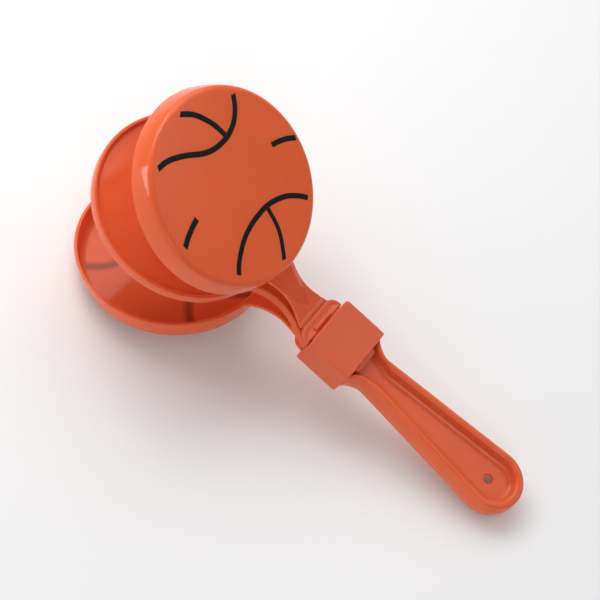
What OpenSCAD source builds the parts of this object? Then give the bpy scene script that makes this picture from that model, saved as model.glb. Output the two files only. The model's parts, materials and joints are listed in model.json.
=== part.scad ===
// Hand clapper noise maker: a centre paddle between two cup shaped clappers
// +X runs from the discs to the handle end, +Y across, +Z up
// Millimetres. The clapper lies as on a table: lower cup edge and handle tip touch Z = 0

/* [Piece to show] */
// which piece to draw

/* [Stance] */
// angle of the handle to the table, degrees
pitch = 13.43; // [0:0.01:30]
// opening of the upper clapper at rest, degrees
front_open = 19.8; // [0:0.1:28]
// opening of the lower clapper at rest, degrees
back_open = 23.7; // [0:0.1:33]

/* [Centre paddle] */
// outside radius of the centre disc
disc_r = 37; // [30:0.1:45]
// half depth of the disc rim
rim_h = 2.3; // [1:0.1:5]
// width of the disc rim
rim_t = 1.5; // [0.8:0.1:3]
// half thickness of the web
web_h = 0.65; // [0.4:0.05:2]
// narrowest half width of the neck
neck_w = 5; // [3:0.1:9]
// radius of the flare on each side of the neck
flare_r = 20; // [12:0.5:40]
// position of the narrowest point of the neck
neck_x = 48; // [40:0.5:55]
// half depth of the neck flange
neck_h = 1.95; // [1:0.05:3]

/* [Handle] */
// half depth of the handle rim
grip_h = 4.7; // [3:0.05:7]
// start of the handle block inside the collar
block_x = 66; // [60:0.1:80]
// half width of the handle next to the collar
grip_w0 = 6.9; // [5:0.1:9]
// radius of the rounded handle end
grip_r = 12.35; // [8:0.1:14]
// centre of the rounded handle end
grip_end = 150.5; // [120:0.1:170]
// wall of the handle rim
grip_t = 3.9; // [1:0.1:5]
// centre of the hang hole
hole_x = 149.3; // [120:0.1:160]
// radius of the hang hole
hole_r = 1.95; // [1:0.05:3]

/* [Cups] */
// outside radius at the open rim
cup_r = 37.8; // [30:0.1:45]
// outside radius next to the face
face_r = 35.95; // [28:0.1:44]
// depth from rim to face
cup_d = 9.5; // [6:0.1:15]
// wall thickness
cup_t = 1.3; // [0.8:0.1:3]
// rounding of the outer face edge
edge_r = 1.6; // [0.5:0.1:4]
// gap between cup rim plane and disc rim when shut
rim_gap = 0.1; // [0:0.05:1]
// shift of the cup centre towards the hinge
cup_x = 0.8; // [0:0.1:1]

/* [Clapper arms and hinges] */
// hinge line along the handle
hinge_x = 60.2; // [50:0.1:65]
// hinge line above the middle plane
hinge_z = 2.6; // [1.5:0.05:4]
// radius of the hinge bead
bead_r = 0.4; // [0.3:0.05:1]
// running clearance round the bead
bead_gap = 0.05; // [0.01:0.01:0.1]
// half length of the hinge bead
bead_y = 7.6; // [5:0.1:9]
// underside of arm and tongue plate
arm_z0 = 2.1; // [1.5:0.05:3]
// top of the arm
arm_z1 = 3.6; // [2.5:0.05:5]
// top of the tongue plate and of the lip at the groove
plate_z = 3.9; // [3:0.05:5]
// depth of the dished channel in the arm
dish_d = 0.8; // [0.2:0.05:1.2]

/* [Collar] */
// start of the collar along the handle
collar_x0 = 65.9; // [60:0.1:75]
// length of the collar
collar_len = 19; // [10:0.1:30]
// half width outside
collar_w = 12.75; // [10:0.1:16]
// half depth outside
collar_h = 6.7; // [4:0.05:9]
// wall on the narrow sides
collar_tw = 1.2; // [0.8:0.05:2]
// wall on the wide faces
collar_th = 1.6; // [0.8:0.05:2]

/* [Printed lines] */
// width of the printed lines
ink_w = 2; // [1:0.1:4]
// thickness of the ink
ink_t = 0.04; // [0.02:0.01:0.2]

/* [Hidden] */
$fn = 96;
rim_z = rim_h + rim_gap;
face_z = rim_z + cup_d;
collar_x1 = collar_x0 + collar_len;
// shift that puts the middle of the whole object over the origin
shift_x = -60.88;
shift_z = 42.4;
// control points of the printed lines on the face, along and across the handle
ink_s = [[-24.2, 23.4], [-17.9, 18.1], [-14.7, 12], [-14.2, 4.2], [-17.4, -3.4], [-22.4, -10.4],
         [-24.5, -15.8], [-24.6, -21]];
ink_s2 = [[-14.6, 9.5], [-20, 8.1], [-25.7, 5.5], [-30.5, 1.6], [-33, -1.5]];
ink_c = [[24.8, 22.8], [18.5, 15.8], [15.1, 8.3], [14.3, 0.7], [15.4, -6.6], [18.8, -14.4], [24.2, -21.1]];
ink_c2 = [[14.7, 5.3], [21.2, 4.4], [27, 2.2], [33.3, -2.3]];
ink_a = [[5.3, 34.3], [2.8, 30.9], [1.2, 27.5], [0.1, 23.1]];
ink_b = [[-2, -21], [-1.3, -24.2], [0.1, -28.1], [2.6, -32.3]];

// points on a circular arc
function arc(cx, cy, r, a0, a1, n) =
    [for (i = [0:n]) [cx + r * cos(a0 + (a1 - a0) * i / n), cy + r * sin(a0 + (a1 - a0) * i / n)]];
// point on a smooth curve through the control points
function at(p, i) = p[max(0, min(len(p) - 1, i))];
function mid(p, i, t) = 0.5 * (2 * at(p, i) + (at(p, i + 1) - at(p, i - 1)) * t
    + (2 * at(p, i - 1) - 5 * at(p, i) + 4 * at(p, i + 1) - at(p, i + 2)) * t * t
    + (3 * at(p, i) - at(p, i - 1) - 3 * at(p, i + 1) + at(p, i + 2)) * t * t * t);
function curve(p, n) = concat([for (i = [0:len(p) - 2]) for (k = [0:n - 1]) mid(p, i, k / n)],
    [at(p, len(p) - 1)]);
function unit(v) = v / norm(v);
function dir(c, i) = unit(c[min(len(c) - 1, i + 1)] - c[max(0, i - 1)]);
function side(c, i, d) = c[i] + d * [-dir(c, i)[1], dir(c, i)[0]];

// a line of constant width along a smooth curve
module stroke(p, w) {
    c = curve(p, 4);
    n = len(c);
    polygon(concat([for (i = [0:n - 1]) side(c, i, w / 2)], [for (i = [n - 1:-1:0]) side(c, i, -w / 2)]));
}

// lay the object on the table
module lay() {
    translate([shift_x, 0, shift_z])
        rotate([0, pitch, 0])
            children();
}

// front side: swing a shut clapper open
module swing(a) {
    translate([hinge_x, 0, hinge_z])
        rotate([0, a, 0])
            translate([-hinge_x, 0, -hinge_z])
                children();
}

// the other side: the same moulding turned over about the handle's line
module under() {
    rotate([180, 0, 0])
        children();
}

// outline of neck or arm between x0 and x1
module waist(x0, x1, w, r) {
    difference() {
        translate([x0, -14])
            square([x1 - x0, 28]);
        translate([neck_x, w + r])
            circle(r = r);
        translate([neck_x, -w - r])
            circle(r = r);
    }
}

// outline of the handle, shrunk by t
module grip_outline(t) {
    translate([grip_end, 0])
        circle(r = grip_r - t);
    polygon([[85.2, -grip_w0 + t], [85.2, grip_w0 - t], [88.5, grip_w0 - t],
        [grip_end - 1.1, grip_r - 0.05 - t], [grip_end - 1.1, -grip_r + 0.05 + t], [88.5, -grip_w0 + t]]);
}

// outline of the part inside the collar and its flare to the handle
module block_outline(w, w1, x0) {
    polygon([[x0, -w], [x0, w], [85.5, w], [88.2, w1 + 0.6], [90.6, w1], [90.6, -w1], [88.2, -w1 - 0.6],
        [85.5, -w]]);
}

// disc with its rim, and the neck up to the collar
module centre_disc() {
    color([0.86, 0.3, 0.1])
        lay() {
            // disc rim
            rotate_extrude()
                translate([disc_r - rim_t, -rim_h])
                    square([rim_t, 2 * rim_h]);
            // web of the disc
            translate([0, 0, -web_h])
                cylinder(r = disc_r - rim_t / 2, h = 2 * web_h);
            // neck web
            translate([0, 0, -web_h])
                linear_extrude(2 * web_h)
                    intersection() {
                        waist(33.5, block_x, neck_w, flare_r);
                        translate([33, -11])
                            square([40, 22]);
                    }
            // neck flange
            translate([0, 0, -neck_h])
                linear_extrude(2 * neck_h)
                    difference() {
                        intersection() {
                            waist(36.2, block_x, neck_w, flare_r);
                            translate([30, -11])
                                square([60, 22]);
                        }
                        intersection() {
                            waist(30, 58.8, neck_w - 1.5, flare_r + 1.5);
                            translate([30, -9])
                                square([60, 18]);
                        }
                        circle(r = disc_r - rim_t / 2);
                    }
        }
}

// part inside the collar, flaring to the handle, and the handle
module handle() {
    color([0.82, 0.27, 0.09])
        lay()
            difference() {
                union() {
                    // web
                    translate([0, 0, -web_h])
                        linear_extrude(2 * web_h) {
                            block_outline(11.3, grip_w0, block_x);
                            grip_outline(0);
                        }
                    // rims
                    translate([0, 0, -grip_h])
                        linear_extrude(2 * grip_h)
                            difference() {
                                union() {
                                    block_outline(11.3, grip_w0, block_x);
                                    grip_outline(0);
                                }
                                translate([61, -9.2])
                                    square([24.6, 18.4]);
                                block_outline(9.2, grip_w0 - grip_t, 65);
                                grip_outline(grip_t);
                            }
                }
                // hang hole
                translate([hole_x, 0, -5])
                    cylinder(r = hole_r, h = 10);
            }
}

// shut cup and arm of the front clapper
module clapper_shape() {
    difference() {
        union() {
            // cup
            translate([cup_x, 0, 0])
                rotate_extrude()
                    polygon(concat([[0, rim_z + 1], [cup_r, rim_z]],
                        arc(face_r - edge_r, face_z - edge_r, edge_r, 12, 90, 8), [[0, face_z]]));
            // arm
            translate([0, 0, arm_z0])
                linear_extrude(arm_z1 - arm_z0)
                    waist(35, hinge_x - 0.65, neck_w, flare_r);
            // root of the arm against the cup wall
            translate([0, 0, arm_z0])
                linear_extrude(arm_z1 - arm_z0 + 1)
                    intersection() {
                        waist(34, 41, neck_w, flare_r);
                        translate([cup_x, 0])
                            circle(r = cup_r + 0.8);
                    }
            // lip along the groove
            translate([0, 0, arm_z0])
                linear_extrude(plate_z - arm_z0)
                    waist(hinge_x - 2.35, hinge_x - 0.65, neck_w, flare_r);
            // nose that carries the hinge
            rotate([90, 0, 0])
                translate([0, 0, -bead_y])
                    linear_extrude(2 * bead_y)
                        translate([hinge_x, 0])
                            polygon([[-1, arm_z0], [-0.4, arm_z0 + 0.05], [-0.08, 2.3], [-0.08, 2.9],
                                [-0.3, 3.1], [-0.65, plate_z], [-1, plate_z]]);
        }
        // hollow of the cup, open below
        translate([cup_x, 0, 0])
            rotate_extrude()
                polygon(concat([[0, rim_z - 3], [cup_r - cup_t + 0.6, rim_z - 3], [cup_r - cup_t, rim_z]],
                    arc(face_r - cup_t - 2.1, face_z - cup_t - 2.2, 2.2, 12, 90, 8), [[0, face_z - cup_t]]));
        // room for the disc rim
        translate([0, 0, -1])
            cylinder(r = disc_r + 0.3, h = rim_z + 1);
        // dished channel of the arm
        translate([0, 0, arm_z1 - dish_d])
            linear_extrude(3) {
                polygon([[39.7, -6.1], [39.7, 6.1], [46, 3.95], [51.1, 2.65], [54.8, 0.9], [54.8, -0.9],
                    [51.1, -2.65], [46, -3.95]]);
                translate([54.7, 0])
                    circle(r = 1);
            }
        // seat of the hinge bead
        translate([hinge_x, 0, hinge_z])
            rotate([90, 0, 0])
                cylinder(r = bead_r + bead_gap, h = 20, center = true);
    }
}

// hinge bead and the thin strip that joins it to the tongue plate
module hinge_shape() {
    translate([hinge_x, 0, hinge_z])
        rotate([90, 0, 0])
            cylinder(r = bead_r, h = 2 * bead_y - 0.4, center = true);
    translate([hinge_x, -bead_y + 0.2, hinge_z - 0.25])
        cube([0.5, 2 * bead_y - 0.4, 0.5]);
}

// fixed end of the clapper moulding: plate, raised stop bar and tongue under the collar
module tongue_shape() {
    translate([0, 0, arm_z0])
        linear_extrude(plate_z - arm_z0) {
            // ears
            intersection() {
                union() {
                    translate([hinge_x + 0.5, -7.6])
                        square([5.2, 15.2]);
                    translate([64.2, 7.6])
                        circle(r = 3.5);
                    translate([64.2, -7.6])
                        circle(r = 3.5);
                    translate([64.2, -11.1])
                        square([1.6, 22.2]);
                }
                translate([hinge_x, -12])
                    square([collar_x0 - 0.1 - hinge_x, 24]);
            }
            translate([63.2, -8.9])
                square([5, 17.8]);
        }
    // tongue
    translate([0, 0, 3.3])
        linear_extrude(collar_h - collar_th - 0.1 - 3.3)
            polygon([[66, -8.9], [66, 8.9], [81.9, 8.9], [86.9, 5.2], [86.9, -5.2], [81.9, -8.9]]);
    // rails below the tongue
    translate([67.2, -8.9, web_h + 0.05])
        cube([13, 1.6, 3]);
    translate([67.2, 7.3, web_h + 0.05])
        cube([13, 1.6, 3]);
    // raised stop bar
    translate([0, 0, plate_z - 0.5])
        linear_extrude(1.4) {
            translate([64.1, -4.4])
                square([1.5, 8.8]);
            translate([64.85, 4.4])
                circle(r = 0.75);
            translate([64.85, -4.4])
                circle(r = 0.75);
        }
}

// printed lines on the shut face, kept inside the flat of the face
module print_shape() {
    translate([0, 0, face_z])
        linear_extrude(ink_t)
            intersection() {
                union() {
                    stroke(ink_s, ink_w);
                    stroke(ink_s2, ink_w * 0.92);
                    stroke(ink_c, ink_w);
                    stroke(ink_c2, ink_w * 0.85);
                    stroke(ink_a, ink_w * 0.9);
                    stroke(ink_b, ink_w);
                }
                translate([cup_x, 0])
                    circle(r = face_r - edge_r - 0.3);
            }
}

module front_clapper() {
    color([0.88, 0.33, 0.12])
        lay()
            swing(front_open)
                clapper_shape();
}

module front_hinge() {
    color([0.8, 0.26, 0.08])
        lay()
            hinge_shape();
}

module front_tongue() {
    color([0.84, 0.3, 0.1])
        lay()
            tongue_shape();
}

module front_print() {
    color([0.07, 0.07, 0.07])
        lay()
            swing(front_open)
                print_shape();
}

module back_clapper() {
    color([0.82, 0.28, 0.1])
        lay()
            under()
                swing(back_open)
                    clapper_shape();
}

module back_hinge() {
    color([0.76, 0.24, 0.08])
        lay()
            under()
                hinge_shape();
}

module back_tongue() {
    color([0.8, 0.28, 0.1])
        lay()
            under()
                tongue_shape();
}

module back_print() {
    color([0.07, 0.07, 0.07])
        lay()
            under()
                swing(back_open)
                    print_shape();
}

module collar() {
    color([0.9, 0.36, 0.16])
        lay()
            difference() {
                translate([collar_x0, -collar_w, -collar_h])
                    cube([collar_len, 2 * collar_w, 2 * collar_h]);
                translate([collar_x0 - 1, -collar_w + collar_tw, -collar_h + collar_th])
                    cube([collar_len + 2, 2 * (collar_w - collar_tw), 2 * (collar_h - collar_th)]);
            }
}

centre_disc();
handle();
front_clapper();
front_hinge();
front_tongue();
front_print();
back_clapper();
back_hinge();
back_tongue();
back_print();
collar();
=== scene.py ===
import json
import math

import bpy
import numpy as np
from mathutils import Matrix


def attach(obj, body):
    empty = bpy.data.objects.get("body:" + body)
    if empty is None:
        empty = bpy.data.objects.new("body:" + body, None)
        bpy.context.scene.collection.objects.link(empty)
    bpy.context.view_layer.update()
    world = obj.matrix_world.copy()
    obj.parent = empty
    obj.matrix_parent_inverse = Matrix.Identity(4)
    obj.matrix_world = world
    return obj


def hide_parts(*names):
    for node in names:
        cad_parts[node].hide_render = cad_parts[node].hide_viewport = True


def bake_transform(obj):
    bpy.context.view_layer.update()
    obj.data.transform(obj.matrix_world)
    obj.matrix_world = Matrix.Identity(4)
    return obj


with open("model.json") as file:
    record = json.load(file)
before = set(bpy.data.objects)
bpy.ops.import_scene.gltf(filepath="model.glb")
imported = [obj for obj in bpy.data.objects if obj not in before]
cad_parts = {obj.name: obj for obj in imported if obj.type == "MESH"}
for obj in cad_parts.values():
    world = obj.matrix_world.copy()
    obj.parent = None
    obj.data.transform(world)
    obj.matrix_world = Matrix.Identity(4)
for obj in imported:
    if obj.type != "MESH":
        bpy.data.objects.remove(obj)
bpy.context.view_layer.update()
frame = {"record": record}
REC = frame["record"]

# ---------------------------------------------------------------- sizes, mm
# Object frame: u from the disc centre to the handle end, w across, n up out
# of the front face. A clapper is shaped shut and then swung open.
DISC_R, RIM_H, RIM_IN, WEB_H = 37.0, 2.3, 35.5, 0.65
NECK_W, FLARE_R, NECK_U, NECK_H = 5.0, 20.0, 48.0, 1.95
GRIP_H, GRIP_W0, GRIP_U0, GRIP_R, GRIP_END = 4.7, 6.9, 88.5, 12.35, 150.5
BLOCK_W, BLOCK_U0, BLOCK_U1 = 11.3, 66.0, 85.5
HOLE_U, HOLE_R = 149.3, 1.95
CUP_R, FACE_R, CUP_T, EDGE_R, CUP_U = 37.8, 35.95, 1.3, 1.6, 0.8
RIM_N, FACE_N = 2.4, 11.9
HINGE_U, HINGE_N = 60.2, 2.6
ARM_0, ARM_1, PLATE_N = 2.1, 3.6, 3.9
COLLAR_0, COLLAR_1, COLLAR_W, COLLAR_H = 65.9, 84.9, 12.75, 6.7
OPEN = {"front": math.radians(19.8), "back": math.radians(23.7)}

# ------------------------------------------------------- placing in the row
mount = {m["name"]: m for m in REC["mounts"]}
AX = np.array(mount["grip"]["axis"], float)
PITCH = math.atan2(-AX[2], AX[0])
LAY = np.array([[math.cos(PITCH), 0, math.sin(PITCH)], [0, 1, 0],
                [-math.sin(PITCH), 0, math.cos(PITCH)]])
ORIGIN = np.array(mount["hang_hole"]["pos_m"]) * 1000 - LAY @ np.array([HOLE_U, 0, 0])


def to_row(p):
    """Object frame in mm to the row's frame in metres."""
    return (np.asarray(p, float) @ LAY.T + ORIGIN) / 1000.0


def swing(p, side):
    """Points of a shut clapper at one side's rest pose; the back one is turned over."""
    p = np.asarray(p, float)
    a = OPEN[side]
    du, dn = p[..., 0] - HINGE_U, p[..., 2] - HINGE_N
    u = HINGE_U + du * math.cos(a) + dn * math.sin(a)
    n = HINGE_N - du * math.sin(a) + dn * math.cos(a)
    s = 1.0 if side == "front" else -1.0
    return np.stack([u, s * p[..., 1], s * n], -1)


# ------------------------------------------------------------ shape algebra
def rmax(a, b, r):
    """Intersection with a rounded edge of radius r."""
    outside = np.hypot(np.maximum(a + r, 0), np.maximum(b + r, 0))
    return np.minimum(np.maximum(a + r, b + r), 0) + outside - r


def rmin(a, b, r):
    """Union with a fillet of radius r."""
    return -rmax(-a, -b, r)


def both_sides(half, tip=()):
    """Closed outline from the points of its +w half and any point on the middle line."""
    return half + list(tip) + [(p[0], -p[1]) for p in half[::-1]]


def polygon(u, w, pts):
    """Signed distance to a polygon in the plane."""
    pts = np.asarray(pts, float)
    nearest = None
    inside = None
    for i in range(len(pts)):
        a, b = pts[i - 1], pts[i]
        eu, ew = b[0] - a[0], b[1] - a[1]
        pu, pw = u - a[0], w - a[1]
        t = np.clip((pu * eu + pw * ew) / (eu * eu + ew * ew), 0, 1)
        q = (pu - eu * t) ** 2 + (pw - ew * t) ** 2
        nearest = q if nearest is None else np.minimum(nearest, q)
        level = ew if ew != 0 else 1e-9
        crossed = ((a[1] > w) != (b[1] > w)) & (u < eu * (w - a[1]) / level + a[0])
        inside = crossed if inside is None else inside ^ crossed
    return np.sqrt(nearest) * np.where(inside, -1.0, 1.0)


def capsule(u, w, ua, ra, ub, rb):
    """Signed distance to a tapered capsule along u, from radius ra to rb."""
    h = ub - ua
    sine = (ra - rb) / h
    cosine = math.sqrt(1 - sine * sine)
    pu, pw = u - ua, np.abs(w)
    along = cosine * pu - sine * pw
    side = cosine * pw + sine * pu - ra
    ends = np.where(along < 0, np.hypot(pu, pw) - ra, np.hypot(pu - h, pw) - rb)
    return np.where((along < 0) | (along > cosine * h), ends, side)


def waist(u, w):
    """Neck outline: two arcs that flare towards both ends."""
    return FLARE_R - np.hypot(u - NECK_U, np.abs(w) - (NECK_W + FLARE_R))


def rounded_box(u, w, n, u0, u1, half_w, n0, n1, r):
    """Box with every edge rounded."""
    du = np.abs(u - (u0 + u1) / 2) - (u1 - u0) / 2 + r
    dw = np.abs(w) - half_w + r
    dn = np.abs(n - (n0 + n1) / 2) - (n1 - n0) / 2 + r
    out = np.sqrt(np.maximum(du, 0) ** 2 + np.maximum(dw, 0) ** 2 + np.maximum(dn, 0) ** 2)
    return out + np.minimum(np.maximum(du, np.maximum(dw, dn)), 0) - r


def rounded_bar(w, n, half_w, half_n, r):
    """Endless bar along u with rounded corners."""
    dw, dn = np.abs(w) - (half_w - r), np.abs(n) - (half_n - r)
    out = np.hypot(np.maximum(dw, 0), np.maximum(dn, 0))
    return out + np.minimum(np.maximum(dw, dn), 0) - r


def round_corner(du, dw, r):
    """Outside corner of radius r; du and dw are depths past the corner's centre."""
    return np.hypot(np.maximum(du, 0), np.maximum(dw, 0)) - r


# ------------------------------------------------------------------- shapes
# Each shape is a signed distance. *_EDGE and *_FILLET are edge radii, *_SLOPE
# is mm sideways per mm of height, and *_EVEN brings the value across a sloping
# wall back to about 1 mm per mm.
FAR = 9.0
DISC_SLOPE, DISC_EDGE, RECESS_FILLET, RIM_EDGE = 0.06, 0.45, 1.0, 0.35
NECK_FROM, NECK_SIDE, NECK_CORNER, NECK_EDGE = 15, 11.0, 2.5, 0.35
NECK_END, NECK_ROOT = 66.2, 36.3
DENT_INSET, DENT_FILLET, DENT_END, DENT_CORNER, DENT_ROOT = 1.4, 0.6, 58.8, 1.5, 38.0
BLOCK = both_sides([(BLOCK_U0, BLOCK_W), (BLOCK_U1 + 0.1, BLOCK_W), (87.9, 7.4), (88.4, 6.0)])
TROUGH = both_sides([(60.0, 9.2), (BLOCK_U1 - 0.6, 9.2), (88.4, 4.9), (92.0, 3.8)])
FLARE_FILLET, GRIP_SLOPE, GRIP_EVEN, GRIP_EDGE = 4.5, 0.15, 0.989, 0.8
RIM_WIDTH, POCKET_SLOPE, POCKET_EVEN, POCKET_FILLET = 2.9, 0.45, 0.92, 1.6
TIP_LENGTH, TIP_WIDTH, TIP_SLOPE = 8.0, 0.7, 0.27
JOIN_FILLET, HOLE_EDGE = 0.3, 0.2


def paddle(u, w, n):
    """Centre disc, neck and handle, which are one moulding."""
    m = np.abs(n)
    r = np.hypot(u, w)
    disc = rmax(r - DISC_R + DISC_SLOPE * m, m - RIM_H, DISC_EDGE)
    recess = rmax(r - RIM_IN, WEB_H - m, RECESS_FILLET)
    disc = rmax(disc, -recess, RIM_EDGE)

    side = np.where(u > NECK_FROM, waist(u, w), FAR)
    neck = rmax(rmax(side, np.abs(w) - NECK_SIDE, NECK_CORNER), m - NECK_H, NECK_EDGE)
    neck = rmax(neck, u - NECK_END, 0.2)
    neck = np.maximum(neck, NECK_ROOT - r)
    dent = rmax(rmax(side + DENT_INSET, WEB_H - m, DENT_FILLET), u - DENT_END, DENT_CORNER)
    dent = rmax(dent, DENT_ROOT - r, 0.5)
    neck = rmax(neck, -dent, 0.3)
    body = rmin(disc, neck, 0.9)

    blade = capsule(u, w, GRIP_U0, GRIP_W0 - 0.05, GRIP_END, GRIP_R)
    outline = np.maximum(rmin(blade, polygon(u, w, BLOCK), FLARE_FILLET), BLOCK_U0 - u)
    grip = rmax((outline + GRIP_SLOPE * m) * GRIP_EVEN, m - GRIP_H, GRIP_EDGE)
    inner = rmin(blade + RIM_WIDTH, polygon(u, w, TROUGH), FLARE_FILLET)
    tip = np.clip((u - GRIP_END) / TIP_LENGTH, 0, 1)
    wall = inner + TIP_WIDTH * tip + (POCKET_SLOPE - TIP_SLOPE * tip) * (GRIP_H - m)
    pocket = rmax(wall * POCKET_EVEN, WEB_H - m, POCKET_FILLET)
    grip = rmax(grip, -pocket, GRIP_EDGE)
    body = rmin(body, grip, JOIN_FILLET)
    hole = np.hypot(u - HOLE_U, w) - HOLE_R
    return rmax(body, -hole, HOLE_EDGE)


CUP_LEAN, CUP_BULGE, CUP_EVEN, FLOOR_T, FLOOR_FILLET = 0.08, 0.0121, 0.98, 1.3, 2.2
ARM_EDGE, ARM_UNDER, ARM_ROOT, ARM_CLIP = 0.35, 0.3, 34.0, 56.6
ARM_HALF, ARM_FLARE, ARM_FLARE_U = 7.0, 0.34, 57.2
LIP_U, LIP_SLOPE, LIP_FILLET, LIP_GAP = 58.35, 0.7, 0.5, 0.35
DISH = both_sides([(30.0, 10.0), (36.0, 7.2), (40.0, 5.7), (44.5, 4.4), (48.0, 3.65), (49.8, 3.2),
                   (52.4, 2.2), (55.0, 0.9)], [(55.9, 0.0)])
DISH_OUT, DISH_SLOPE, DISH_EVEN, DISH_DEPTH, DISH_FILLET, DISH_EDGE = 0.7, 1.2, 0.64, 1.0, 0.2, 0.12


def clapper(u, w, n):
    """Cup and arm of a shut clapper, up to the groove."""
    h = np.maximum(n - RIM_N, 0)
    lean = CUP_LEAN * h + CUP_BULGE * h * h
    wall = (np.hypot(u - CUP_U, w) - CUP_R + lean) * CUP_EVEN
    cup = rmax(rmax(wall, n - FACE_N, EDGE_R), RIM_N - n, 0.35)
    hollow = rmax(wall + CUP_T, n - (FACE_N - FLOOR_T), FLOOR_FILLET)

    side = waist(u, w)
    clip = np.abs(w) - ARM_HALF - ARM_FLARE * (u - ARM_FLARE_U)
    side = np.where(u > ARM_CLIP, np.maximum(side, clip), side)
    arm = rmax(rmax(side, n - ARM_1, ARM_EDGE), ARM_0 - n, ARM_UNDER)
    lip = rmax(rmax(side, n - PLATE_N, 0.3), LIP_U - u + LIP_SLOPE * (n - ARM_1), LIP_FILLET)
    lip = rmax(lip, ARM_0 - n, ARM_UNDER)
    arm = rmin(arm, lip, 0.3)
    arm = rmax(arm, u - (HINGE_U - LIP_GAP), 0.3)
    arm = np.maximum(arm, ARM_ROOT - u)
    slope = (polygon(u, w, DISH) - DISH_OUT + DISH_SLOPE * (ARM_1 - n)) * DISH_EVEN
    dish = rmax(slope, (ARM_1 - DISH_DEPTH) - n, DISH_FILLET)
    arm = rmax(arm, -dish, DISH_EDGE)
    body = rmin(cup, arm, 0.6)
    return rmax(body, -hollow, 0.3)


EARS = both_sides([(60.55, 7.4), (60.95, 8.5), (61.6, 9.5), (62.4, 10.3), (63.4, 10.85),
                   (64.6, 11.1), (65.8, 11.1)])
LEAD = both_sides([(63.2, 8.7), (82.0, 8.7), (86.8, 5.1)])
PLATE_EDGE, INSET_RIM, INSET_U, INSET_DEPTH = 0.55, 1.2, 62.0, 0.4
INSET_SLOPE, INSET_EVEN, INSET_FILLET, INSET_EDGE = 1.4, 0.58, 0.4, 0.35
TAIL_TOP, TAIL_UNDER, TAIL_DROP, TAIL_DROP_U, TAIL_U = 4.9, 3.4, 0.16, 80.5, 65.9
BRIDGE_UNDER, BRIDGE_END, SMALL = 2.3, 68.0, 0.2
BAR = (63.5, 65.1, 5.0, 2.6, 4.75, 0.6)


def tongue(u, w, n):
    """Tongue plate with its ears, recess and stop bar, and the tongue under the collar."""
    ears = polygon(u, w, EARS)
    plate = rmax(rmax(ears, n - PLATE_N, PLATE_EDGE), ARM_0 - n, SMALL)
    rim = np.maximum(ears + INSET_RIM, INSET_U - u)
    inset = rmax((rim + INSET_SLOPE * (PLATE_N - n)) * INSET_EVEN,
                 PLATE_N - INSET_DEPTH - n, INSET_FILLET)
    plate = rmax(plate, -inset, INSET_EDGE)
    lead = polygon(u, w, LEAD)
    drop = TAIL_DROP * np.maximum(u - TAIL_DROP_U, 0)
    tail = rmax(rmax(lead, n - TAIL_TOP + drop, 0.3), TAIL_UNDER - drop - n, SMALL)
    tail = rmax(tail, TAIL_U - u, SMALL)
    bridge = rmax(rmax(lead, n - PLATE_N + INSET_DEPTH, SMALL), BRIDGE_UNDER - n, SMALL)
    bridge = np.maximum(bridge, u - BRIDGE_END)
    body = rmin(rmin(plate, bridge, SMALL), tail, SMALL)
    return rmin(body, rounded_box(u, w, n, *BAR), 0.25)


COLLAR_R, COLLAR_END, COLLAR_EDGE = 0.9, 0.5, 0.3
BIG_CORNER, CORNER, BORE_R, SIDE_T, TOP_T = 2.2, 1.2, 0.7, 1.2, 1.6


def collar(u, w, n):
    """Sleeve with rounded ends; its front corner on the +w side is rounder."""
    out = rounded_bar(w, n, COLLAR_W, COLLAR_H, COLLAR_R)
    out = rmax(rmax(out, COLLAR_0 - u, COLLAR_END), u - COLLAR_1, COLLAR_END)
    big = round_corner(COLLAR_0 + BIG_CORNER - u, w - COLLAR_W + BIG_CORNER, BIG_CORNER)
    out = rmax(out, big, COLLAR_EDGE)
    mid, half = (COLLAR_0 + COLLAR_1) / 2, (COLLAR_1 - COLLAR_0) / 2
    others = round_corner(np.abs(u - mid) - half + CORNER, np.abs(w) - COLLAR_W + CORNER, CORNER)
    out = rmax(out, others, COLLAR_EDGE)
    bore = rounded_bar(w, n, COLLAR_W - SIDE_T, COLLAR_H - TOP_T, BORE_R)
    return rmax(out, -bore, COLLAR_EDGE)


# ------------------------------------------------------------------ meshing
def span(a, b, step):
    """Even grid lines from a to b, no further apart than step."""
    return np.linspace(a, b, int(math.ceil((b - a) / step)) + 1)


def spans(*parts):
    """Grid lines whose spacing changes from part to part."""
    rows = [span(*q) for q in parts]
    return np.concatenate([r[:-1] for r in rows[:-1]] + [rows[-1]])


def gradient(f, p, e=0.02):
    """Gradient of f at the points, by central differences."""
    g = np.empty_like(p)
    for k in range(3):
        q = p.copy()
        q[:, k] += e
        r = p.copy()
        r[:, k] -= e
        g[:, k] = (f(q[:, 0], q[:, 1], q[:, 2]) - f(r[:, 0], r[:, 1], r[:, 2])) / (2 * e)
    return g


def settle(f, p, steps=3, reach=0.4, least=0.15):
    """Move points along the gradient on to the surface f = 0, by at most reach."""
    start = p.copy()
    for _ in range(steps):
        g = gradient(f, p)
        v = f(p[:, 0], p[:, 1], p[:, 2])
        p = p - (v / np.maximum((g * g).sum(1), least))[:, None] * g
    d = p - start
    far = np.linalg.norm(d, axis=1)
    return start + d * np.minimum(1.0, reach / np.maximum(far, 1e-9))[:, None]


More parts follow.
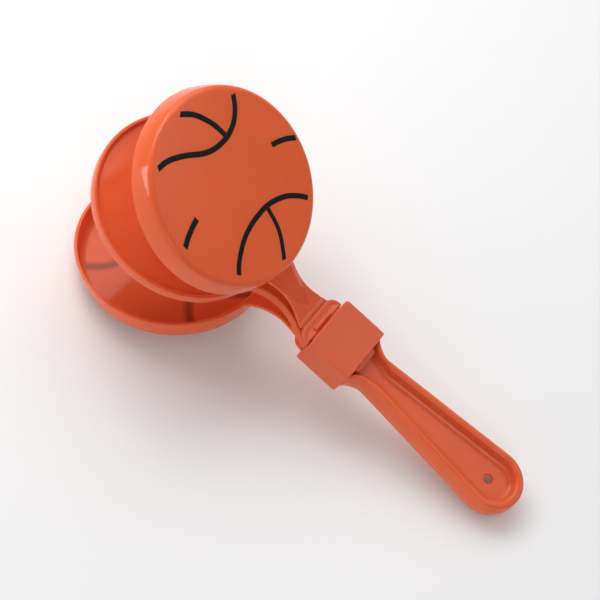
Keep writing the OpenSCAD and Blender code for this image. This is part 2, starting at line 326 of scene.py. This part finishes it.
def skin(f, us, ws, ns, relax=2, pull=0.55):
    """Quads on f = 0 by surface nets, relaxed and pulled on to the surface."""
    F = f(us[:, None, None], ws[None, :, None], ns[None, None, :]).astype(np.float64)
    S = F < 0
    corners = [S[i:S.shape[0] - 1 + i, j:S.shape[1] - 1 + j, k:S.shape[2] - 1 + k]
               for i in (0, 1) for j in (0, 1) for k in (0, 1)]
    count = sum(x.astype(np.int8) for x in corners)
    cells = np.argwhere((count > 0) & (count < len(corners)))
    index = -np.ones(count.shape, np.int64)
    index[tuple(cells.T)] = np.arange(len(cells))
    grid = [us, ws, ns]
    # one point in each cell: the mean of where its edges cross the surface
    total = np.zeros((len(cells), 3))
    hits = np.zeros(len(cells))
    for axis in range(3):
        o1, o2 = [k for k in range(3) if k != axis]
        for a in (0, 1):
            for b in (0, 1):
                off = [0, 0, 0]
                off[o1], off[o2] = a, b
                i0 = cells + np.array(off)
                i1 = i0.copy()
                i1[:, axis] += 1
                v0, v1 = F[tuple(i0.T)], F[tuple(i1.T)]
                cross = (v0 < 0) != (v1 < 0)
                t = np.where(cross, v0 / np.where(v0 == v1, 1, v0 - v1), 0)
                p = np.stack([grid[k][i0[:, k]] for k in range(3)], 1)
                p[:, axis] += t * (grid[axis][i1[:, axis]] - grid[axis][i0[:, axis]])
                total += np.where(cross[:, None], p, 0)
                hits += cross
    pts = total / hits[:, None]
    # one quad round each grid edge that crosses the surface
    quads = []
    for axis in range(3):
        o1, o2 = [(1, 2), (2, 0), (0, 1)][axis]
        lo = [slice(None)] * 3
        hi = [slice(None)] * 3
        lo[axis], hi[axis] = slice(0, -1), slice(1, None)
        e = np.argwhere(S[tuple(lo)] != S[tuple(hi)])
        ok = (e[:, o1] > 0) & (e[:, o2] > 0)
        ok &= (e[:, o1] < S.shape[o1] - 1) & (e[:, o2] < S.shape[o2] - 1)
        e = e[ok]
        inward = S[tuple(e.T)]
        ring = []
        for d1, d2 in ((-1, -1), (0, -1), (0, 0), (-1, 0)):
            q = e.copy()
            q[:, o1] += d1
            q[:, o2] += d2
            ring.append(index[tuple(q.T)])
        ring = np.stack(ring, 1)
        quads.append(np.where(inward[:, None], ring, ring[:, ::-1]))
    quads = np.concatenate(quads)
    pts = settle(f, pts)
    for _ in range(relax):
        acc = np.zeros_like(pts)
        num = np.zeros(len(pts))
        for a, b in ((0, 1), (1, 2), (2, 3), (3, 0)):
            np.add.at(acc, quads[:, a], pts[quads[:, b]])
            np.add.at(acc, quads[:, b], pts[quads[:, a]])
            np.add.at(num, quads[:, a], 1)
            np.add.at(num, quads[:, b], 1)
        pts = settle(f, pts * (1 - pull) + acc / num[:, None] * pull)
    return pts, quads


def make(name, pts, quads, material, normals=None, flip=False):
    """A smooth mesh object from row-frame points in metres."""
    mesh = bpy.data.meshes.new(name)
    quads = np.asarray(quads)
    if flip:
        quads = quads[:, ::-1]
    mesh.from_pydata([tuple(p) for p in pts], [], quads.tolist())
    mesh.update()
    mesh.polygons.foreach_set("use_smooth", [True] * len(mesh.polygons))
    if normals is not None:
        mesh.normals_split_custom_set_from_vertices([tuple(v) for v in normals])
    obj = bpy.data.objects.new(name, mesh)
    bpy.context.scene.collection.objects.link(obj)
    mesh.materials.append(material)
    return obj


def facing(f, p):
    """Unit outward normals of f at the points."""
    g = gradient(f, p, 0.03)
    return g / np.maximum(np.linalg.norm(g, axis=1), 1e-9)[:, None]


# ------------------------------------------------------------ printed lines
# Width, slant of both ends and centre line of each line on the shut face.
SEAMS = [
    (2.15, -0.5, 0.55, [(-23.3, 22.9), (-19.2, 20.0), (-15.8, 15.8), (-14.0, 10.8), (-13.7, 6.7),
                        (-14.3, 1.7), (-16.3, -3.3), (-19.6, -8.3), (-22.3, -13.3), (-23.8, -17.5),
                        (-24.2, -22.1)]),
    (2.15, 0.0, 0.6, [(-13.9, 9.6), (-20.0, 8.3), (-25.0, 6.0), (-28.8, 3.3), (-32.3, -1.1)]),
    (2.05, 0.2, 0.3, [(24.8, 22.7), (21.7, 20.0), (18.3, 15.8), (16.0, 10.8), (14.8, 5.8), (14.7, 1.7),
                      (15.2, -4.2), (16.7, -10.0), (19.2, -15.0), (22.1, -19.2), (24.6, -21.5)]),
    (1.85, 0.0, -0.5, [(14.8, 5.6), (21.7, 4.6), (26.7, 2.7), (30.8, 0.0), (33.7, -2.1)]),
    (2.05, 0.0, 0.0, [(5.8, 34.3), (3.3, 30.4), (1.7, 26.7), (0.6, 23.1)]),
    (2.2, 0.2, 0.5, [(-1.5, -21.1), (-0.4, -25.4), (1.0, -29.2), (2.7, -32.7)]),
]


def curve(pts, n=6):
    """Smooth curve through the control points."""
    p = np.array(pts, float)
    e = np.concatenate([[2 * p[0] - p[1]], p, [2 * p[-1] - p[-2]]])
    out = []
    for i in range(len(p) - 1):
        a, b, c, d = e[i:i + 4]
        for t in np.arange(n) / n:
            out.append(0.5 * (2 * b + (c - a) * t + (2 * a - 5 * b + 4 * c - d) * t * t
                              + (3 * b - a - 3 * c + d) * t ** 3))
    out.append(p[-1])
    return np.array(out)


# The print that shows through the cup floor: how many of the lines, how far
# it spreads and blurs in mm, how dark it is, and where the floor's inner side is.
SHOW_LINES, SHOW_SPREAD, SHOW_BLUR, SHOW_STRENGTH = 4, 0.8, 2.6, 0.55
SHOW_TOP, SHOW_BOTTOM, SHOW_MARGIN = 0.9, 2.2, 2.0


def ink_shadow(p):
    """How much print shows through the cup floor, on its inner side."""
    near = np.full(len(p), 99.0)
    for width, _, _, ctrl in SEAMS[:SHOW_LINES]:
        for q in curve(ctrl, 5):
            near = np.minimum(near, np.hypot(p[:, 0] - q[0], p[:, 1] - q[1]) - width / 2)
    show = np.clip(1.0 - (near + SHOW_SPREAD) / SHOW_BLUR, 0, 1)
    inner = (p[:, 2] < FACE_N - SHOW_TOP) & (p[:, 2] > FACE_N - SHOW_BOTTOM)
    inner &= np.hypot(p[:, 0] - CUP_U, p[:, 1]) < FACE_R - SHOW_MARGIN
    return SHOW_STRENGTH * show * show * (3 - 2 * show) * inner


# ---------------------------------------------------------------- materials
def socket(node, name, value):
    node.inputs[name].default_value = value


def plastic(name, base, deep, gloss):
    """Slightly translucent moulded plastic: two close colours, a roughness range and
    the print's shadow from the attribute show_through."""
    mat = bpy.data.materials.new(name)
    mat.use_nodes = True
    nt = mat.node_tree
    nt.nodes.clear()
    new = nt.nodes.new
    out = new("ShaderNodeOutputMaterial")
    bsdf = new("ShaderNodeBsdfPrincipled")
    nt.links.new(bsdf.outputs[0], out.inputs[0])
    pos = new("ShaderNodeTexCoord")
    cloud = new("ShaderNodeTexNoise")
    socket(cloud, "Scale", 38.0)
    socket(cloud, "Detail", 3.0)
    nt.links.new(pos.outputs["Object"], cloud.inputs["Vector"])
    ramp = new("ShaderNodeValToRGB")
    ramp.color_ramp.elements[0].position = 0.3
    ramp.color_ramp.elements[0].color = (*deep, 1)
    ramp.color_ramp.elements[1].position = 0.72
    ramp.color_ramp.elements[1].color = (*base, 1)
    nt.links.new(cloud.outputs["Fac"], ramp.inputs["Fac"])
    show = new("ShaderNodeAttribute")
    show.attribute_name = "show_through"
    dark = new("ShaderNodeMix")
    dark.data_type = "RGBA"
    dark.inputs["B"].default_value = (0.035, 0.016, 0.012, 1)
    nt.links.new(show.outputs["Fac"], dark.inputs["Factor"])
    nt.links.new(ramp.outputs["Color"], dark.inputs["A"])
    nt.links.new(dark.outputs["Result"], bsdf.inputs["Base Color"])
    grain = new("ShaderNodeTexNoise")
    socket(grain, "Scale", 900.0)
    socket(grain, "Detail", 2.0)
    nt.links.new(pos.outputs["Object"], grain.inputs["Vector"])
    rough = new("ShaderNodeMapRange")
    socket(rough, "To Min", gloss[0])
    socket(rough, "To Max", gloss[1])
    nt.links.new(cloud.outputs["Fac"], rough.inputs["Value"])
    nt.links.new(rough.outputs["Result"], bsdf.inputs["Roughness"])
    bump = new("ShaderNodeBump")
    socket(bump, "Strength", 0.05)
    socket(bump, "Distance", 0.0001)
    nt.links.new(grain.outputs["Fac"], bump.inputs["Height"])
    nt.links.new(bump.outputs["Normal"], bsdf.inputs["Normal"])
    socket(bsdf, "IOR", 1.49)
    socket(bsdf, "Subsurface Weight", 0.85)
    socket(bsdf, "Subsurface Radius", (1.0, 0.32, 0.12))
    socket(bsdf, "Subsurface Scale", 0.0018)
    socket(bsdf, "Specular IOR Level", 0.28)
    return mat


def ink(name):
    """Black pad-printing ink with a faint grain."""
    mat = bpy.data.materials.new(name)
    mat.use_nodes = True
    nt = mat.node_tree
    bsdf = nt.nodes["Principled BSDF"]
    new = nt.nodes.new
    pos = new("ShaderNodeTexCoord")
    noise = new("ShaderNodeTexNoise")
    socket(noise, "Scale", 600.0)
    socket(noise, "Detail", 4.0)
    nt.links.new(pos.outputs["Object"], noise.inputs["Vector"])
    ramp = new("ShaderNodeValToRGB")
    ramp.color_ramp.elements[0].color = (0.0022, 0.0018, 0.0016, 1)
    ramp.color_ramp.elements[1].color = (0.005, 0.004, 0.0036, 1)
    nt.links.new(noise.outputs["Fac"], ramp.inputs["Fac"])
    nt.links.new(ramp.outputs["Color"], bsdf.inputs["Base Color"])
    rough = new("ShaderNodeMapRange")
    socket(rough, "To Min", 0.3)
    socket(rough, "To Max", 0.42)
    nt.links.new(noise.outputs["Fac"], rough.inputs["Value"])
    nt.links.new(rough.outputs["Result"], bsdf.inputs["Roughness"])
    bump = new("ShaderNodeBump")
    socket(bump, "Strength", 0.1)
    socket(bump, "Distance", 0.00005)
    nt.links.new(noise.outputs["Fac"], bump.inputs["Height"])
    nt.links.new(bump.outputs["Normal"], bsdf.inputs["Normal"])
    socket(bsdf, "Specular IOR Level", 0.2)
    return mat


ORANGE = plastic("orange_pp", (0.765, 0.14, 0.044), (0.72, 0.127, 0.04), (0.08, 0.12))
FROSTED = plastic("orange_pp_frosted", (0.71, 0.132, 0.055), (0.67, 0.12, 0.05), (0.26, 0.34))
INK = ink("black_ink")

# ------------------------------------------------------------------- pieces
# Grid lines for meshing each shape along u, w and n, as (from, to, spacing) in mm.
PADDLE_GRID = [spans((-37.8, 36.0, 0.42), (36.0, 163.7, 0.32)),
               spans((-37.8, -13.0, 0.42), (-13.0, 13.0, 0.3), (13.0, 37.8, 0.42)),
               span(-5.1, 5.1, 0.34)]
CLAPPER_GRID = [spans((-37.6, 34.0, 0.42), (34.0, 60.9, 0.26)),
                spans((-38.4, -12.0, 0.42), (-12.0, 12.0, 0.26), (12.0, 38.4, 0.42)),
                spans((1.6, 4.3, 0.22), (4.3, 12.4, 0.36))]
TONGUE_GRID = [span(60.2, 87.4, 0.2), span(-11.6, 11.6, 0.2), span(1.7, 5.3, 0.18)]
COLLAR_GRID = [span(65.3, 85.5, 0.3), span(-13.3, 13.3, 0.3), span(-7.2, 7.2, 0.3)]

pts, quads = skin(paddle, *PADDLE_GRID)
obj = make("paddle_moulding", to_row(pts), quads, ORANGE, facing(paddle, pts) @ LAY.T)
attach(obj, "base")
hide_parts("centre_disc", "handle")

cup_pts, cup_quads = skin(clapper, *CLAPPER_GRID)
cup_nor = facing(clapper, cup_pts)
shadow = ink_shadow(cup_pts)
tongue_pts, tongue_quads = skin(tongue, *TONGUE_GRID)
tongue_nor = facing(tongue, tongue_pts)
for side in ("front", "back"):
    turn = [1.0, 1.0, 1.0] if side == "front" else [1.0, -1.0, -1.0]
    swung_nor = swing(cup_pts + cup_nor, side) - swing(cup_pts, side)
    obj = make(side + "_cup_and_arm", to_row(swing(cup_pts, side)), cup_quads, ORANGE,
               swung_nor @ LAY.T)
    layer = obj.data.attributes.new("show_through", "FLOAT", "POINT")
    layer.data.foreach_set("value", shadow)
    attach(obj, side + "_clapper")
    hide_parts(side + "_clapper")
    obj = make(side + "_tongue_plate", to_row(tongue_pts * turn), tongue_quads, ORANGE,
               (tongue_nor * turn) @ LAY.T)
    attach(obj, "base")
    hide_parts(side + "_tongue")

pts, quads = skin(collar, *COLLAR_GRID)
obj = make("collar_sleeve", to_row(pts), quads, FROSTED, facing(collar, pts) @ LAY.T)
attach(obj, "base")
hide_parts("collar")


# ------------------------------------------------------------ flexing webs
WEB_HALF_W, WEB_ROWS, WEB_REACH, WEB_STEPS = 7.5, 25, 1.25, 13
WEB_TOP, WEB_RISE, WEB_UNDER, WEB_BEND = 0.75, 0.3, 0.4, 0.5


def web(side):
    """The web at the groove, bent from the tongue plate to the arm."""
    s = 1.0 if side == "front" else -1.0
    cosine, sine = math.cos(OPEN[side]), math.sin(OPEN[side])
    tip = np.array([HINGE_U - WEB_REACH * cosine, HINGE_N + WEB_REACH * sine])
    heart = np.array([HINGE_U, HINGE_N])
    end = np.array([HINGE_U + WEB_REACH, HINGE_N])
    line = np.array([(1 - t) ** 2 * end + 2 * t * (1 - t) * heart + t * t * tip
                     for t in np.linspace(0, 1, WEB_STEPS)])
    tan = np.gradient(line, axis=0)
    tan /= np.linalg.norm(tan, axis=1)[:, None]
    nor = np.stack([tan[:, 1], -tan[:, 0]], 1)
    high = WEB_TOP + WEB_RISE * np.linspace(-1, 1, WEB_STEPS)[:, None] ** 2
    loop = np.concatenate([line + nor * high, (line - nor * WEB_UNDER)[::-1]])
    rows = np.linspace(-WEB_HALF_W, WEB_HALF_W, WEB_ROWS)
    k = len(loop)
    p = np.array([[q[0], s * y, s * q[1]] for y in rows for q in loop])
    f = []
    for i in range(WEB_ROWS - 1):
        for j in range(k):
            f.append([i * k + j, i * k + (j + 1) % k, (i + 1) * k + (j + 1) % k, (i + 1) * k + j])
    for i in (0, WEB_ROWS - 1):
        for j in range(k // 2 - 1):
            g = [i * k + j, i * k + j + 1, i * k + k - 2 - j, i * k + k - 1 - j]
            f.append(g[::-1] if i == 0 else g)
    obj = make(side + "_flex_web", to_row(p), f, ORANGE, flip=True)
    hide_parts(side + "_hinge")
    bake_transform(obj)


web("front")
web("back")


# Section of a printed line: places across in widths, and heights over the face in mm.
INK_ACROSS = np.array([-0.5, -0.47, -0.25, 0.0, 0.25, 0.47, 0.5])
INK_HEIGHT = np.array([-0.02, 0.03, 0.035, 0.035, 0.035, 0.03, -0.02])
INK_END, INK_LEAST = -0.02, 0.2


def prints(side):
    """The printed lines as a thin skin on the face, sunk in at their edges."""
    verts, faces = [], []
    m = len(INK_ACROSS)
    for width, slant_0, slant_1, ctrl in SEAMS:
        c = curve(ctrl)
        tan = np.gradient(c, axis=0)
        tan /= np.linalg.norm(tan, axis=1)[:, None]
        nor = np.stack([-tan[:, 1], tan[:, 0]], 1)
        offs = INK_ACROSS * width
        base = len(verts)
        for i in range(len(c)):
            for j in range(m):
                lean = slant_0 if i == 0 else slant_1 if i == len(c) - 1 else 0.0
                p = c[i] + nor[i] * offs[j] + tan[i] * lean * offs[j]
                height = INK_END if i in (0, len(c) - 1) else INK_HEIGHT[j]
                verts.append([p[0], p[1], FACE_N, height])
        for i in range(len(c) - 1):
            for j in range(m - 1):
                k = base + i * m + j
                faces.append([k, k + m, k + m + 1, k + 1])
    v = np.array(verts)
    p = v[:, :3].copy()
    for _ in range(4):
        g = gradient(clapper, p)
        d = clapper(p[:, 0], p[:, 1], p[:, 2]) - v[:, 3]
        p -= (d / np.maximum((g * g).sum(1), INK_LEAST))[:, None] * g
    obj = make(side + "_seam_print", to_row(swing(p, side)), faces, INK, flip=True)
    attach(obj, side + "_clapper")
    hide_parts(side + "_print")


prints("front")
prints("back")

# -------------------------------------------------------------------- stage
FLOOR_SIZE, FLOOR_Z, WORLD_STRENGTH = 6.0, -0.0002, 0.36

floor_mat = bpy.data.materials.new("studio_floor")
floor_mat.use_nodes = True
floor_bsdf = floor_mat.node_tree.nodes["Principled BSDF"]
socket(floor_bsdf, "Base Color", (0.92, 0.92, 0.92, 1))
socket(floor_bsdf, "Roughness", 0.9)
socket(floor_bsdf, "Specular IOR Level", 0.1)
bpy.ops.mesh.primitive_plane_add(size=FLOOR_SIZE, location=(0, 0, FLOOR_Z))
floor = bpy.context.object
floor.name = "studio_floor"
floor.data.materials.append(floor_mat)

world = bpy.data.worlds.new("studio")
bpy.context.scene.world = world
world.use_nodes = True
background = world.node_tree.nodes["Background"]
socket(background, "Color", (1, 1, 1, 1))
socket(background, "Strength", WORLD_STRENGTH)
bpy.context.scene.view_settings.view_transform = "Standard"

# Camera: azimuth, elevation and roll in degrees, aim and distance in mm, lens for
# a sensor 36 mm wide.
CAM_AZ, CAM_EL, CAM_ROLL = (math.radians(v) for v in (14.735, 56.997, 22.852))
CAM_AIM, CAM_DIST, CAM_LENS = np.array([-8.99, 2.60, 30.0]), 817.45, 133.61
FORWARD = np.array([-math.sin(CAM_AZ) * math.cos(CAM_EL),
                    math.cos(CAM_AZ) * math.cos(CAM_EL), -math.sin(CAM_EL)])
LEVEL = np.array([math.cos(CAM_AZ), math.sin(CAM_AZ), 0.0])
UPRIGHT = np.cross(LEVEL, FORWARD)
RIGHT = math.cos(CAM_ROLL) * LEVEL + math.sin(CAM_ROLL) * UPRIGHT
UP = math.cos(CAM_ROLL) * UPRIGHT - math.sin(CAM_ROLL) * LEVEL


def matrix(pos, right, up, back):
    """Placing of a camera or a light from its three axes."""
    m = Matrix.Identity(4)
    for i in range(3):
        m[i][0], m[i][1], m[i][2], m[i][3] = right[i], up[i], back[i], pos[i]
    return m


cam = bpy.data.cameras.new("camera")
cam.lens = CAM_LENS
cam.sensor_width = 36.0
cam.clip_start = 0.01
cam_obj = bpy.data.objects.new("camera", cam)
bpy.context.scene.collection.objects.link(cam_obj)
cam_obj.matrix_world = matrix((CAM_AIM - FORWARD * CAM_DIST) / 1000, RIGHT, UP, -FORWARD)
bpy.context.scene.camera = cam_obj


def softbox(name, direction, dist, size, power):
    """Area light (width, height); direction is (right, up, towards camera) in the picture."""
    d = direction[0] * RIGHT + direction[1] * UP - direction[2] * FORWARD
    d = d / np.linalg.norm(d)
    light = bpy.data.lights.new(name, "AREA")
    light.shape = "RECTANGLE"
    light.size, light.size_y = size
    light.energy = power
    o = bpy.data.objects.new(name, light)
    bpy.context.scene.collection.objects.link(o)
    side = np.cross([0.0, 0.0, 1.0], d)
    side /= np.linalg.norm(side)
    o.matrix_world = matrix(CAM_AIM / 1000 + d * dist, side, np.cross(d, side), d)
    return o


# Direction, distance in m, size in m and power in W of each soft light
LIGHTS = {
    "overhead": ((0.12, 0.95, 0.28), 1.0, (0.85, 0.85), 4.6),
    "upper_left": ((-0.65, 0.7, 0.3), 1.0, (0.6, 0.6), 0.8),
    "low_left": ((-0.945, 0.18, 0.27), 1.0, (0.42, 0.2), 1.7),
    "left": ((-0.6, -0.45, 0.66), 1.0, (0.6, 0.6), 1.2),
    "front": ((0.12, -0.45, 0.88), 1.0, (0.36, 0.36), 1.2),
    "upper_right": ((0.76, 0.5, 0.42), 1.0, (0.5, 0.5), 0.7),
    "near_top": ((-0.3, 0.8, 0.5), 0.45, (0.25, 0.25), 0.6),
}
for light_name, spec in LIGHTS.items():
    softbox(light_name, *spec)
